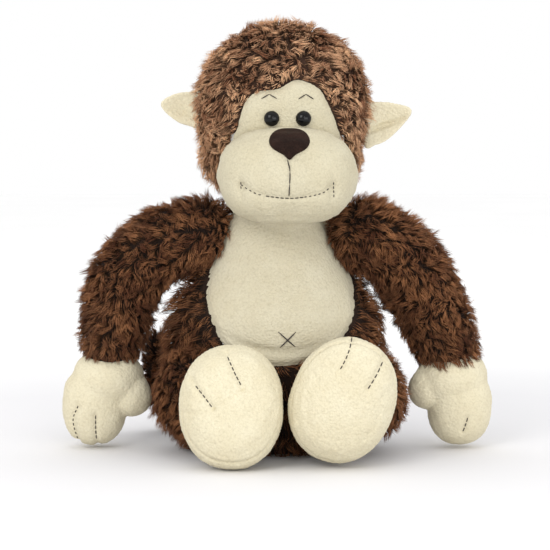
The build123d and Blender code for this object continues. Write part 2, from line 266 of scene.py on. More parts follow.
def super_form(centre, semi, power, tilt=(0, 0)):
    """A pad squarer than an ellipsoid: power 2 is an ellipsoid."""
    turn = turned(tilt)
    semi = A(semi, dtype=float)

    def shape(d):
        reach = (np.abs(d / semi) ** power).sum(1) ** (-1 / power)
        return (d * reach[:, None]) @ turn.T + A(centre)

    return shape


def sausage(name, points, radii, rings=60, around=48, ends=9):
    """A limb: round sections along a smooth line, with a round end at each end."""
    line = curve(points, rings)
    widths = np.interp(np.linspace(0, 1, rings), np.linspace(0, 1, len(radii)), radii)
    way = unit(np.gradient(line, axis=0))
    across = unit(np.cross(way[0], A([0.1, 1, 0.2])))
    frames = []
    for w in way:
        across = unit(across - w * (across @ w))
        frames.append((across, np.cross(w, across)))
    turn = circle(around)
    sections = []
    for k in range(ends, 0, -1):
        a = k / ends * math.pi / 2 * 0.98
        sections.append((line[0] - way[0] * widths[0] * math.sin(a), widths[0] * math.cos(a), frames[0]))
    sections += [(line[k], widths[k], frames[k]) for k in range(rings)]
    for k in range(1, ends + 1):
        a = k / ends * math.pi / 2 * 0.98
        sections.append((line[-1] + way[-1] * widths[-1] * math.sin(a), widths[-1] * math.cos(a), frames[-1]))
    verts = [c + r * (np.cos(turn)[:, None] * u + np.sin(turn)[:, None] * v) for c, r, (u, v) in sections]
    verts = np.vstack(verts)
    return make(name, verts, tube_faces(len(sections), around))


def fuse(name, objects, voxel, smooth):
    """Several overlapping forms made into one skin."""
    verts, faces, start = [], [], 0
    for ob in objects:
        p, _ = get(ob)
        verts.append(p)
        faces += [[start + i for i in f.vertices] for f in ob.data.polygons]
        start += len(p)
        bpy.data.objects.remove(ob)
    ob = make(name, np.vstack(verts), faces)
    m = ob.modifiers.new("skin", "REMESH")
    m.mode = "VOXEL"
    m.voxel_size = voxel * MM
    s = ob.modifiers.new("soften", "SMOOTH")
    s.factor = 0.5
    s.iterations = smooth
    bake_modifiers(ob)
    return ob


def finer(ob, levels=1):
    m = ob.modifiers.new("finer", "SUBSURF")
    m.levels = m.render_levels = levels
    bake_modifiers(ob)


def puff(ob, cap, pressure=4.0, voxel=4.5):
    """Inflates a padded piece as cloth: on average by cap, and nowhere much less or more."""
    scene = bpy.context.scene
    dummy = ob.copy()
    dummy.data = ob.data.copy()
    scene.collection.objects.link(dummy)
    m = dummy.modifiers.new("voxels", "REMESH")
    m.mode = "VOXEL"
    m.voxel_size = voxel * MM
    bake_modifiers(dummy)
    before, outside = get(dummy)
    cloth = dummy.modifiers.new("cloth", "CLOTH")
    cloth.settings.use_pressure = True
    cloth.settings.uniform_pressure_force = pressure
    cloth.settings.effector_weights.gravity = 0
    cloth.settings.quality = 5
    cloth.collision_settings.use_collision = False
    for frame_number in range(1, 16):
        scene.frame_set(frame_number)
    bake_modifiers(dummy)
    scene.frame_set(1)
    after, _ = get(dummy)
    rise = ((after - before) * outside).sum(1, keepdims=True)
    moved = outside * np.clip(rise * cap / max(rise.mean(), 1e-9), 0.75 * cap, 1.15 * cap)
    tree = kdtree.KDTree(len(before))
    for i, p in enumerate(before):
        tree.insert(p, i)
    tree.balance()
    p, _ = get(ob)
    shift = np.zeros_like(p)
    for i, q in enumerate(p):
        near = tree.find_n(q, 5)
        w = A([1 / (d + 0.3) ** 2 for _, _, d in near])
        shift[i] = (w[:, None] * moved[[j for _, j, _ in near]]).sum(0) / w.sum()
    put(ob, p + shift)
    bpy.data.objects.remove(dummy)


# ---------------------------------------------------------------- materials


def material(name):
    m = bpy.data.materials.new(name)
    m.use_nodes = True
    return m, m.node_tree, m.node_tree.nodes["Principled BSDF"]


def values(p, **settings):
    """Sets a shader's sockets: spaces in their names are written as underscores."""
    for name, value in settings.items():
        p.inputs[name.replace("_", " ")].default_value = value


def ramp(nt, source, stops):
    r = nt.nodes.new("ShaderNodeValToRGB")
    while len(r.color_ramp.elements) < len(stops):
        r.color_ramp.elements.new(0.5)
    for e, (at, colour) in zip(r.color_ramp.elements, stops):
        e.position = at
        e.color = (*colour, 1)
    nt.links.new(source, r.inputs[0])
    return r.outputs[0]


def place(nt, scale=(1, 1, 1)):
    coords = nt.nodes.new("ShaderNodeTexCoord")
    mapping = nt.nodes.new("ShaderNodeMapping")
    mapping.inputs["Scale"].default_value = scale
    nt.links.new(coords.outputs["Object"], mapping.inputs["Vector"])
    return mapping.outputs["Vector"]


def texture(nt, kind, where, scale, **settings):
    t = nt.nodes.new(kind)
    nt.links.new(where, t.inputs["Vector"])
    values(t, Scale=scale, **settings)
    return t


def mix(nt, a, b, how="MULTIPLY", share=1.0):
    m = nt.nodes.new("ShaderNodeMix")
    m.data_type = "RGBA"
    m.blend_type = how
    m.inputs["Factor"].default_value = share
    for socket, value in ((m.inputs[6], a), (m.inputs[7], b)):
        if isinstance(value, bpy.types.NodeSocket):
            nt.links.new(value, socket)
        else:
            socket.default_value = (*value, 1)
    return m.outputs[2]


def bump(nt, height, strength, distance):
    b = nt.nodes.new("ShaderNodeBump")
    b.inputs["Strength"].default_value = strength
    b.inputs["Distance"].default_value = distance
    nt.links.new(height, b.inputs["Height"])
    return b


def terry_material(name, light, shade, scale=560):
    """Looped fleece: small knobs, with painted shade in the gaps between them."""
    m, nt, p = material(name)
    where = place(nt)
    knobs = texture(nt, "ShaderNodeTexVoronoi", where, scale)
    tone = texture(nt, "ShaderNodeTexNoise", where, 38, Detail=4.0, Roughness=0.6)
    fine = texture(nt, "ShaderNodeTexNoise", where, 1500, Detail=3.0)
    # painted shade: the colour runs from the knob colour at the knobs' middles to the shade colour in the
    # gaps between them
    painted_gap_shade = ramp(nt, knobs.outputs["Distance"], [(0.0, light), (0.45, light), (0.95, shade)])
    wash = ramp(nt, tone.outputs["Fac"], [(0.3, (0.93, 0.91, 0.87)), (0.7, (1, 1, 1))])
    grain = ramp(nt, fine.outputs["Fac"], [(0.3, (0.93, 0.92, 0.89)), (0.62, (1, 1, 1))])
    nt.links.new(mix(nt, mix(nt, painted_gap_shade, wash), grain), p.inputs["Base Color"])
    height = ramp(nt, knobs.outputs["Distance"], [(0.0, (1, 1, 1)), (0.9, (0, 0, 0))])
    b = bump(nt, height, 0.55, 0.0005)
    b2 = bump(nt, fine.outputs["Fac"], 0.25, 0.0002)
    nt.links.new(b.outputs[0], b2.inputs["Normal"])
    nt.links.new(b2.outputs[0], p.inputs["Normal"])
    values(
        p,
        Roughness=0.95, Specular_IOR_Level=0.15, Sheen_Weight=0.12, Sheen_Roughness=0.5,
        Sheen_Tint=(1.0, 0.96, 0.88, 1),
    )
    return m


def backing_material(name, dark, light):
    """The knitted backing seen between the strands, in uneven tones, made very dark: the backing's colour and
    painted shade deep in the pile.
    """
    m, nt, p = material(name)
    where = place(nt)
    blotch = texture(nt, "ShaderNodeTexNoise", where, 90, Detail=5.0, Roughness=0.7)
    knit = texture(nt, "ShaderNodeTexNoise", place(nt, (1, 1, 0.35)), 900, Detail=2.0)
    tone = ramp(nt, blotch.outputs["Fac"], [(0.3, dark), (0.7, light)])
    grain = ramp(nt, knit.outputs["Fac"], [(0.35, (0.55, 0.55, 0.55)), (0.65, (1, 1, 1))])
    nt.links.new(mix(nt, tone, grain), p.inputs["Base Color"])
    nt.links.new(bump(nt, knit.outputs["Fac"], 0.7, 0.0006).outputs[0], p.inputs["Normal"])
    values(p, Roughness=0.9, Specular_IOR_Level=0.2)
    return m


def strand_materials(name, dark, light, root_shade_share, tip_share):
    """Plain shades for strands thinner than a pixel: their detail is in the split into many shades.

    Each runs from root to tip, and the shades go from dark to light. The root colours are darkened as painted
    shade deep in the pile.
    """
    out = []
    # the root colours are darkened: painted shade deep in the pile
    for part, share in (("root", root_shade_share), ("middle", 1.0), ("tip", tip_share)):
        for k in range(SHADES):
            t = k / (SHADES - 1)
            m, _, p = material(f"{name}_{part}_{k}")
            colour = [min(0.9, share * (a + (b - a) * t**1.3)) for a, b in zip(dark, light)]
            values(
                p,
                Base_Color=(*colour, 1), Roughness=0.62, Specular_IOR_Level=0.12, Sheen_Weight=0.06,
                Sheen_Roughness=0.4, Sheen_Tint=(1.0, 0.7, 0.42, 1),
            )
            out.append(m)
    return out


def thread_material():
    m, nt, p = material("thread")
    twist = texture(nt, "ShaderNodeTexNoise", place(nt, (1, 1, 1)), 1800, Detail=2.0)
    tone = ramp(nt, twist.outputs["Fac"], [(0.35, (0.012, 0.009, 0.008)), (0.7, (0.06, 0.045, 0.038))])
    nt.links.new(tone, p.inputs["Base Color"])
    nt.links.new(bump(nt, twist.outputs["Fac"], 0.6, 0.0002).outputs[0], p.inputs["Normal"])
    values(p, Roughness=0.6)
    return m


def eye_material():
    m, nt, p = material("eye_plastic")
    haze = texture(nt, "ShaderNodeTexNoise", place(nt), 60, Detail=3.0)
    for socket, low, high in (("Base Color", 0.002, 0.005), ("Roughness", 0.04, 0.09)):
        nt.links.new(ramp(nt, haze.outputs["Fac"], [(0.3, (low,) * 3), (0.8, (high,) * 3)]), p.inputs[socket])
    values(p, Specular_IOR_Level=0.2, Coat_Weight=0.05, Coat_Roughness=0.04)
    return m


def nose_material():
    m, nt, p = material("nose_velboa")
    where = place(nt)
    nap = texture(nt, "ShaderNodeTexNoise", place(nt, (1, 1, 0.4)), 1300, Detail=3.0)
    brushed = texture(nt, "ShaderNodeTexNoise", where, 120, Detail=3.0)
    tone = ramp(nt, brushed.outputs["Fac"], [(0.3, (0.013, 0.006, 0.004)), (0.7, (0.028, 0.013, 0.009))])
    grain = ramp(nt, nap.outputs["Fac"], [(0.3, (0.6, 0.6, 0.6)), (0.7, (1.15, 1.1, 1.05))])
    nt.links.new(mix(nt, tone, grain), p.inputs["Base Color"])
    nt.links.new(bump(nt, nap.outputs["Fac"], 0.35, 0.0002).outputs[0], p.inputs["Normal"])
    values(
        p,
        Roughness=0.8, Specular_IOR_Level=0.12, Sheen_Weight=0.04, Sheen_Roughness=0.35,
        Sheen_Tint=(0.9, 0.65, 0.5, 1),
    )
    return m


def filling_material(name, colour, scale):
    """Loose fibre, cloth or beads inside the toy."""
    m, nt, p = material(name)
    wisps = texture(nt, "ShaderNodeTexNoise", place(nt, (1, 0.5, 1)), scale, Detail=5.0, Distortion=1.5)
    dark = tuple(0.8 * c for c in colour)
    nt.links.new(ramp(nt, wisps.outputs["Fac"], [(0.3, dark), (0.7, colour)]), p.inputs["Base Color"])
    nt.links.new(bump(nt, wisps.outputs["Fac"], 0.8, 0.001).outputs[0], p.inputs["Normal"])
    values(p, Roughness=0.95)
    return m


CREAM = terry_material("cream_terry", (0.725, 0.67, 0.505), (0.65, 0.595, 0.44))
# painted shade: the same cream terry made darker for the belly, which gets less light than the feet
CREAM_BELLY_SHADED = terry_material("cream_terry_belly_shaded", (0.60, 0.555, 0.425), (0.53, 0.485, 0.365))
CREAM_FACE = terry_material("cream_terry_face", (0.585, 0.54, 0.405), (0.515, 0.475, 0.355), 640)
# painted shade: the backings' very dark colours are the backing's own colour, darkened to stand for the shade
# deep between the strands
BODY_BACKING_AND_SHADE = backing_material("body_backing_and_shade", (0.012, 0.006, 0.004), (0.03, 0.015, 0.009))
HEAD_BACKING_AND_SHADE = backing_material("head_backing_and_shade", (0.03, 0.014, 0.009), (0.07, 0.036, 0.022))
# 0.42 and 0.5 darken the strands' roots as painted shade
BODY_STRANDS = strand_materials("body_pile", (0.045, 0.016, 0.008), (0.19, 0.084, 0.037), 0.42, 2.0)
HEAD_STRANDS = strand_materials("head_pile", (0.115, 0.046, 0.023), (0.47, 0.285, 0.165), 0.5, 1.95)
THREAD = thread_material()


def dress(ob, *materials_):
    ob.data.materials.clear()
    for m in materials_:
        ob.data.materials.append(m)


# ---------------------------------------------------------------- pile


STRAND_WIDTH = 0.29  # radius of a strand
TUFT = 9  # strands to a tuft
CLUMP = 0.5  # how far a strand is drawn to the middle of its tuft


def scatter(skin, count, rng):
    """Points spread evenly by area over a skin, with its normals there."""
    p, n = get(skin)
    me = skin.data
    me.calc_loop_triangles()
    tri = np.empty(len(me.loop_triangles) * 3, int)
    me.loop_triangles.foreach_get("vertices", tri)
    tri = tri.reshape(-1, 3)
    a, b, c = p[tri[:, 0]], p[tri[:, 1]], p[tri[:, 2]]
    area = np.linalg.norm(np.cross(b - a, c - a), axis=1)
    pick = rng.choice(len(tri), count, p=area / area.sum())
    u, v = rng.random(count), rng.random(count)
    over = u + v > 1
    u[over], v[over] = 1 - u[over], 1 - v[over]
    w = 1 - u - v
    root = w[:, None] * a[pick] + u[:, None] * b[pick] + v[:, None] * c[pick]
    normal = unit(w[:, None] * n[tri[pick, 0]] + u[:, None] * n[tri[pick, 1]] + v[:, None] * n[tri[pick, 2]])
    return root, normal


def nearest(points, chosen):
    """For each point, which of the chosen ones is nearest."""
    tree = kdtree.KDTree(len(chosen))
    for i, q in enumerate(chosen):
        tree.insert(q, i)
    tree.balance()
    return A([tree.find(q)[1] for q in points])


def strand_mesh(name, root, middle, tip, width, side, up, shade, strands):
    """Closed three-sided tapered strands, root and middle rings and a pointed tip."""
    total = len(root)
    verts = np.empty((total, 7, 3))
    for k in range(3):
        angle = 2 * np.pi * k / 3
        around = width * (math.cos(angle) * side + math.sin(angle) * up)
        verts[:, k] = root + around
        verts[:, 3 + k] = middle + 0.85 * around
    verts[:, 6] = tip
    quads = [(k, (k + 1) % 3, 3 + (k + 1) % 3, 3 + k) for k in range(3)]
    ends = [(3 + k, 3 + (k + 1) % 3, 6) for k in range(3)] + [(2, 1, 0)]
    corner = np.concatenate([A(quads).ravel(), A(ends).ravel()])
    sizes = np.tile(A([4, 4, 4, 3, 3, 3, 3]), total)
    me = bpy.data.meshes.new(name)
    me.vertices.add(total * 7)
    me.vertices.foreach_set("co", verts.reshape(-1) * MM)
    me.loops.add(total * len(corner))
    me.loops.foreach_set("vertex_index", (np.arange(total)[:, None] * 7 + corner[None, :]).ravel())
    me.polygons.add(total * 7)
    me.polygons.foreach_set("loop_start", np.concatenate([[0], np.cumsum(sizes)[:-1]]))
    me.polygons.foreach_set("loop_total", sizes)
    me.polygons.foreach_set("use_smooth", np.ones(total * 7, bool))
    for m in strands:
        me.materials.append(m)
    # the darkest strands' lower sides and every strand's end cap take the darkened root colours, painted
    # shade
    low = np.where(shade[:, None] == 0, 0, 1)
    sides, tips, cap = np.repeat(low, 3, axis=1), np.full((total, 3), 2), np.zeros((total, 1), int)
    level = np.concatenate([sides, tips, cap], axis=1)
    me.polygons.foreach_set("material_index", (level * SHADES + shade[:, None]).ravel())
    me.update(calc_edges=True)
    me.validate()
    ob = bpy.data.objects.new(name, me)
    bpy.context.scene.collection.objects.link(ob)
    return ob


def pile(name, skin, count, length, strands, comb, seed, reach, lift=0.5, curl=0.7):
    """Plush: strands rooted on a skin, drawn into tufts that lean along comb.

    reach gives each strand's length as a share of the full one, and 0 where there is none.
    """
    width, group = STRAND_WIDTH, TUFT
    rng = np.random.default_rng(seed)
    root, normal = scatter(skin, count, rng)
    share = reach(root, normal)
    root, normal, share = root[share > 0.05], normal[share > 0.05], share[share > 0.05]
    total = len(root)
    chosen = rng.choice(total, max(total // group, 1), replace=False)
    at, out = root[chosen], normal[chosen]
    k = len(chosen)
    flow = unit(comb(at, out)) + 0.75 * noise3(at, 24, seed + 5) + 0.75 * noise3(at, 10, seed + 9)
    flow += 0.3 * rng.standard_normal((k, 3))
    flow = unit(flow - out * (flow * out).sum(1, keepdims=True))
    rise = lift * (1 + 0.55 * noise(at, 15, seed + 20)) + 0.13 * rng.standard_normal(k)
    rise = np.clip(rise, 0.12, 0.95)[:, None]
    twist = np.cross(out, flow) * curl * (noise(at, 8, seed + 30) + 0.6 * rng.standard_normal(k))[:, None]
    early = unit(out * (rise + 0.45) + flow * (1 - rise) * 0.8)
    late = unit(out * rise * 0.8 + flow * (1 - rise) * 1.25 + twist)
    size = 1 + 0.2 * noise(at, 18, seed + 40) + 0.08 * rng.standard_normal(k)
    size = length * np.clip(size, 0.6, 1.35)[:, None]
    lead = nearest(root, at)
    own = size[lead] * share[:, None] * rng.uniform(0.8, 1.12, (total, 1))
    base = root - normal * 0.7
    middle = base + own * 0.5 * unit(early[lead] + 0.16 * rng.standard_normal((total, 3)))
    tip = middle + own * 0.55 * unit(late[lead] + 0.2 * rng.standard_normal((total, 3)))
    lead_middle = at + size * share[chosen][:, None] * 0.5 * early
    lead_tip = lead_middle + size * share[chosen][:, None] * 0.55 * late
    offset = root - at[lead]
    middle += (lead_middle[lead] + 0.62 * offset - middle) * CLUMP * 0.7
    tip += (lead_tip[lead] + 0.22 * offset - tip) * CLUMP
    for q in (middle, tip):
        q[:, 2] = np.maximum(q[:, 2], 0.4 + 0.5 * rng.random(total))
    way = unit(tip - base)
    side = unit(np.cross(way, normal + 0.013))
    up = np.cross(way, side)
    wide = width * rng.uniform(0.8, 1.25, (total, 1))
    tone = 1.05 * noise(at, 13, seed + 50) + 0.45 * noise(at, 32, seed + 60) + 0.5 * rng.standard_normal(k)
    tone = tone[lead] + 0.35 * rng.standard_normal(total)
    shade = np.clip(tone * 1.5 + SHADES / 2, 0, SHADES - 0.01).astype(int)
    return strand_mesh(name, base, middle, tip, wide, side, up, shade, strands)


# ---------------------------------------------------------------- the toy's measures

TORSO_X = -8.0
TORSO_HEIGHTS = (-4, 0, 22, 60, 105, 124, 150, 180, 196, 204)
torso_half = smooth_fn(TORSO_HEIGHTS, (66, 71, 84, 88, 84, 75, 59, 43, 34, 32))
FLAT = 0.74
SKIN = 4.0
SLACK = 4.0  # how far inside its place a padded piece starts before it is inflated
BELLY = ring_curve(
    ((-44, 188), (-56, 160), (-62.5, 127), (-52, 93), (-30, 77), (-6, 72.5))
    + ((25, 78), (50, 97), (55.5, 127), (45, 160), (36, 188), (-3, 203)),
    160,
)
FACE = ring_curve(
    ((-38, 246), (-37, 259), (-31, 278), (-21, 286), (-6, 288), (9, 295))
    + ((25, 289), (32, 279), (40, 260), (40, 246), (1, 236)),
    140,
)
NECK, NECK_RADIUS = A([-2.0, -2.0, 196.0]), 32.0
HEAD, HEAD_SEMI = A([-2.0, -4.0, 272.0]), A([69.5, 64.0, 69.5])
CHEEK, CHEEK_SEMI = A([-3.0, 0.0, 234.0]), A([65.0, 54.0, 36.0])
MUZZLE, MUZZLE_SEMI = A([1.6, -55.0, 221.0]), A([54.5, 45.0, 37.0])


def torso_front(x, z, inset):
    """The y of the torso's front, or of the round neck where that is further out."""
    half = torso_half(z) - inset
    across = np.clip((x - TORSO_X) / half, -0.999, 0.999)
    chest = -(torso_half(z) * FLAT - inset) * np.sqrt(1 - across**2)
    ball = (NECK_RADIUS + SKIN - inset) ** 2 - (x - NECK[0]) ** 2 - (z - NECK[2]) ** 2
    return np.minimum(chest, NECK[1] - np.sqrt(np.maximum(ball, 0)))


def head_front(x, z, inset):
    s = HEAD_SEMI - inset
    inner = 1 - ((x - HEAD[0]) / s[0]) ** 2 - ((z - HEAD[2]) / s[2]) ** 2
    return HEAD[1] - s[1] * np.sqrt(np.clip(inner, 0.001, 1))


# ---------------------------------------------------------------- torso


def torso_skin():
    heights = np.concatenate([[1.2, 1.2, 2.0, 4.0, 7.0], np.linspace(11, 196, 62)])
    turn = circle(96)
    rows = []
    for k, z in enumerate(heights):
        half = torso_half(z) - SKIN
        deep = torso_half(z) * FLAT - SKIN
        if k < 4:
            half, deep = half - (7, 3.0, 1.2, 0.4)[k], deep - (7, 3.0, 1.2, 0.4)[k]
        rows.append(xyz(TORSO_X + half * np.cos(turn), deep * np.sin(turn), np.full(96, z)))
    for k in range(1, 9):
        a = k / 8 * math.pi / 2 * 0.97
        across, deep, z = 30 * math.cos(a), 27 * math.cos(a), 196 + 26 * math.sin(a)
        rows.append(xyz(TORSO_X + np.cos(turn) * across, -1 + np.sin(turn) * deep, np.full(96, z)))
    ob = make("torso_backing", np.vstack(rows), tube_faces(len(rows), 96))
    p, n = get(ob)
    soft = np.clip((p[:, 2] - 4) / 12, 0, 1) * np.clip((200 - p[:, 2]) / 15, 0, 1)
    push = soft * (2.0 * noise(p, 45, 3) + 1.0 * noise(p, 20, 4))
    in_patch = inside(BELLY, p[:, 0], p[:, 2]) & (p[:, 1] < 0)
    push = np.where(in_patch, -4.0, push)
    p = p + n * push[:, None]
    out = p - NECK
    far = np.linalg.norm(out, axis=1, keepdims=True)
    round_neck = NECK_RADIUS - np.where(in_patch, 2.0, 0.0)[:, None]
    put(ob, np.where(far < round_neck, NECK + out / far * round_neck, p))
    dress(ob, BODY_BACKING_AND_SHADE)
    return ob


torso = torso_skin()


def in_torso(p, inset):
    """Whether points lie inside the torso's surface, drawn in by inset."""
    half = torso_half(p[:, 2]) - inset
    deep = torso_half(p[:, 2]) * FLAT - inset
    level = (p[:, 2] > inset) & (p[:, 2] < 205)
    return level & (((p[:, 0] - TORSO_X) / half) ** 2 + (p[:, 1] / deep) ** 2 < 1)


def outwards(outline, p):
    """The way out of an outline in the XZ plane, for points beside it."""
    middle = outline.mean(0)
    return unit(xyz(p[:, 0] - middle[0], np.zeros(len(p)), p[:, 2] - middle[1]))


def torso_reach(p, n):
    front = p[:, 1] < -2
    gone = front & inside(BELLY, p[:, 0], p[:, 2])
    gone |= (p[:, 2] > 214) | (n[:, 2] < -0.8)
    near = distance_to(BELLY, p[:, 0], p[:, 2])
    share = np.where(front, 0.6 + 0.4 * np.clip(near / 9, 0, 1), 1.0)
    flank = bell(p[:, 2] - 108, 30) * np.clip((TORSO_X - 50 - p[:, 0]) / 20, 0, 1)
    return np.where(gone, 0.0, share * (1 + 0.5 * flank))


def down_comb(p, n):
    """Downwards, and away from the belly's seam."""
    near = np.where(p[:, 1] < -2, bell(distance_to(BELLY, p[:, 0], p[:, 2]), 8), 0.15)
    return A([0, 0, -1.0]) + 1.2 * near[:, None] * outwards(BELLY, p)


torso_pile = pile("torso_pile", torso, 23500, 13.0, BODY_STRANDS, down_comb, 11, torso_reach)


def panel(name, outline, front, rows, tuck, thick, swell=None, centre=None):
    """A sewn panel: a skin that follows front(x, z), rolled under at its seam."""
    count = len(outline)
    middle = outline.mean(0) if centre is None else A(centre)
    verts = []
    shares = 1 - (1 - np.linspace(0.02, 1, rows)) ** 1.15
    for share in shares:
        ring = middle + (outline - middle) * share
        y = front(ring[:, 0], ring[:, 1])
        edge = (1 - share) * np.linalg.norm(outline - middle, axis=1)
        y = y + tuck * bell(edge, 3.2)
        if swell is not None:
            y = y + swell(ring[:, 0], ring[:, 1])
        verts.append(xyz(ring[:, 0], y, ring[:, 1]))
    back = verts[-1].copy()
    back[:, 1] += thick * 0.6
    verts.append(back)
    for share in (0.85, 0.4, 0.03):
        ring = middle + (outline - middle) * share
        verts.append(xyz(ring[:, 0], front(ring[:, 0], ring[:, 1]) + tuck + thick, ring[:, 1]))
    return make(name, np.vstack(verts), [f[::-1] for f in tube_faces(len(verts), count)])


def nap(ob, amount, size, seed, broad=0.0):
    """Terry loops raised on a surface, and slow unevenness under them."""
    p, n = get(ob)
    lift = amount * (loops(p, size, seed) - 0.45) + 0.35 * amount * noise(p, size * 0.55, seed + 3)
    if broad:
        lift = lift + broad * noise(p, 24, seed + 7) + 0.5 * broad * noise(p, 10, seed + 8)
    put(ob, p + n * lift[:, None])


def belly_swell(x, z):
    """The belly is fullest low down, with a soft fold above the legs."""
    low = bell(z - 108, 30) * np.exp(-((x + 3) / 48) ** 2)
    fold = 2.2 * bell(z - 84 - 0.006 * (x + 3) ** 2, 3.6) * np.exp(-((x + 12) / 34) ** 2)
    return -1.8 * low + fold


belly = panel(
    "belly_terry", BELLY, lambda x, z: torso_front(x, z, SKIN), 74, 2.6, 3.0, belly_swell, (-3, 128)
)
finer(belly)
nap(belly, 0.5, 1.75, 21, 0.5)
dress(belly, CREAM_BELLY_SHADED)

# ---------------------------------------------------------------- head


def head_shape(inset):
    def shape(d):
        out = []
        for centre, semi in ((HEAD, HEAD_SEMI - inset), (CHEEK, CHEEK_SEMI - inset)):
            # how far a ray from the head's middle runs inside this ellipsoid
            o = (A([-2.0, -4.0, 262.0]) - centre) / semi
            r = d / semi
            qa, qb, qc = (r * r).sum(1), 2 * (r @ o), o @ o - 1
            out.append((-qb + np.sqrt(np.maximum(qb * qb - 4 * qa * qc, 0))) / (2 * qa))
        reach = np.logaddexp(out[0] * 0.45, out[1] * 0.45) / 0.45 - 1.0
        return A([-2.0, -4.0, 262.0]) + d * reach[:, None]

    return shape


head = globe("head_backing_and_shade", 6, head_shape(SKIN))
p, n = get(head)
push = 1.6 * noise(p, 40, 61) + 0.8 * noise(p, 18, 62)
behind_muzzle = (p[:, 2] < 252) & (np.abs(p[:, 0] - MUZZLE[0]) < 47)
opening = (p[:, 1] < -20) & (inside(FACE, p[:, 0], p[:, 2]) | behind_muzzle)
push = np.where(opening, -5.5, push)
put(head, p + n * push[:, None])
dress(head, HEAD_BACKING_AND_SHADE)


def head_reach(p, n):
    front = p[:, 1] < -15
    across, up = np.abs(p[:, 0] - MUZZLE[0]) / 52, np.abs(p[:, 2] - MUZZLE[2]) / 36
    gone = front & (inside(FACE, p[:, 0], p[:, 2]) | (across**3 + up**3 < 1))
    gone |= (p[:, 2] < 212) & (np.hypot(p[:, 0] + 2, p[:, 1] + 2) < 38)
    near = distance_to(FACE, p[:, 0], p[:, 2])
    share = np.where(front, 0.5 + 0.5 * np.clip(near / 12, 0, 1), 1.0)
    return np.where(gone, 0.0, share)


def head_comb(p, n):
    """From a crown at the back of the top, forwards and down, but away from the face."""
    away = unit(p - A([0.0, 22.0, 335.0]))
    swirl = np.cross(n, away)
    near = np.where(p[:, 1] < -15, bell(distance_to(FACE, p[:, 0], p[:, 2]), 11), 0)
    return away + 0.35 * swirl + A([0, 0, -0.35]) + 1.7 * near[:, None] * outwards(FACE, p)


head_pile = pile(
    "head_pile", head, 24000, 11.8, HEAD_STRANDS, head_comb, 31, head_reach, lift=0.47, curl=0.85
)

face = panel("face_terry", FACE, lambda x, z: head_front(x, z, SKIN), 40, 1.6, 3.0, None, (1.6, 262))
finer(face)
nap(face, 0.4, 1.5, 41, 0.3)
dress(face, CREAM_FACE)

SMILE = curve(
    ((-34, 214.9), (-27, 210.6), (-19.4, 207.3), (-0.5, 204.8), (14, 205.6), (27.4, 208.5), (34.2, 213.3)), 60
)
LIP = curve(((1.3, 234.1), (3.2, 224.7), (2.5, 205.9)), 24)

muzzle = globe("muzzle_terry", 5, super_form(MUZZLE, MUZZLE_SEMI - SLACK, 2.55))
puff(muzzle, SLACK)
finer(muzzle, 2)
p, n = get(muzzle)
front = p[:, 1] < -58
x, z = p[:, 0], p[:, 2]
gather = distance_to(SMILE, x, z, closed=False)
lift = np.where(front, -1.3 * bell(gather, 2.3), 0)
lift += np.where(front, -1.0 * bell(distance_to(LIP, x, z, closed=False), 2.0), 0)
for corner, lean in (((-34.1, 212.5), -0.05), ((36.3, 210.2), 0.1)):
    dimple = np.hypot(x - corner[0] - lean * (z - corner[1]), (z - corner[1]) * 0.42)
    lift += np.where(front, -2.2 * bell(dimple, 2.6), 0)
    lift += np.where(front, 0.9 * bell(dimple - 7, 4.5), 0)
lift += 0.5 * noise(p, 26, 71)
put(muzzle, p + n * lift[:, None])
nap(muzzle, 0.55, 1.7, 42)
dress(muzzle, CREAM_FACE)


def surface(ob):
    p, _ = get(ob)
    return BVHTree.FromPolygons([Vector(q) for q in p], [tuple(f.vertices) for f in ob.data.polygons])


def laid_on(tree, points, proud, towards=(0, 1, 0), start=(0, -200, 0)):
    """Points dropped onto a surface, standing a little proud of it."""
    out = []
    for q in points:
        hit, normal, _, _ = tree.ray_cast(Vector(q) + Vector(start), Vector(towards))
        if hit is not None:
            out.append(A(hit) - A(towards) * proud)
    return A(out)


def cord_mesh(name, runs, radius, around=8):
    """Thread as closed tubes, each thinner where it dives into the cloth."""
    verts, faces, start = [], [], 0
    for run in runs:
        way = unit(np.gradient(run, axis=0))
        side = unit(np.cross(way, A([0.02, 1.0, 0.03])))
        up = np.cross(way, side)
        turn = circle(around)
        t = np.linspace(0, 1, len(run))
        r = radius * (0.45 + 0.55 * np.minimum(1, 5 * np.minimum(t, 1 - t)))
        c, s = np.cos(turn)[None, :, None], np.sin(turn)[None, :, None]
        ring = run[:, None, :] + r[:, None, None] * (c * side[:, None] + s * up[:, None])
        verts.append(ring.reshape(-1, 3))
        faces += [tuple(start + i for i in f) for f in tube_faces(len(run), around)]
        start += len(run) * around
    ob = make(name, np.vstack(verts), faces)
    dress(ob, THREAD)
    return ob


def stitches(tree, line, length, gap, proud=0.35, dip=0.5, **how):
    """Running stitches along a line: each dives into the cloth at its ends."""
    run = np.concatenate([[0], np.cumsum(np.linalg.norm(np.diff(line, axis=0), axis=1))])
    out, at = [], 0.0
    while at + length <= run[-1] + 0.01:
        s = np.linspace(at, at + length, 9)
        pts = np.stack([np.interp(s, run, line[:, k]) for k in range(3)], axis=1)
        laid = laid_on(tree, pts, 0.0, **how)
        if len(laid) == 9:
            arch = np.sin(np.linspace(0, np.pi, 9))
            lift = proud * arch**0.6 - dip * (1 - arch**0.5)
            out.append(laid - A(how.get("towards", (0, 1, 0))) * lift[:, None])
        at += length + gap
    return out


def xz(points):
    """Points of an XZ outline as points in space."""
    points = A(points, dtype=float)
    return xyz(points[:, 0], np.zeros(len(points)), points[:, 1])


muzzle_tree = surface(muzzle)
face_tree = surface(face)
belly_tree = surface(belly)

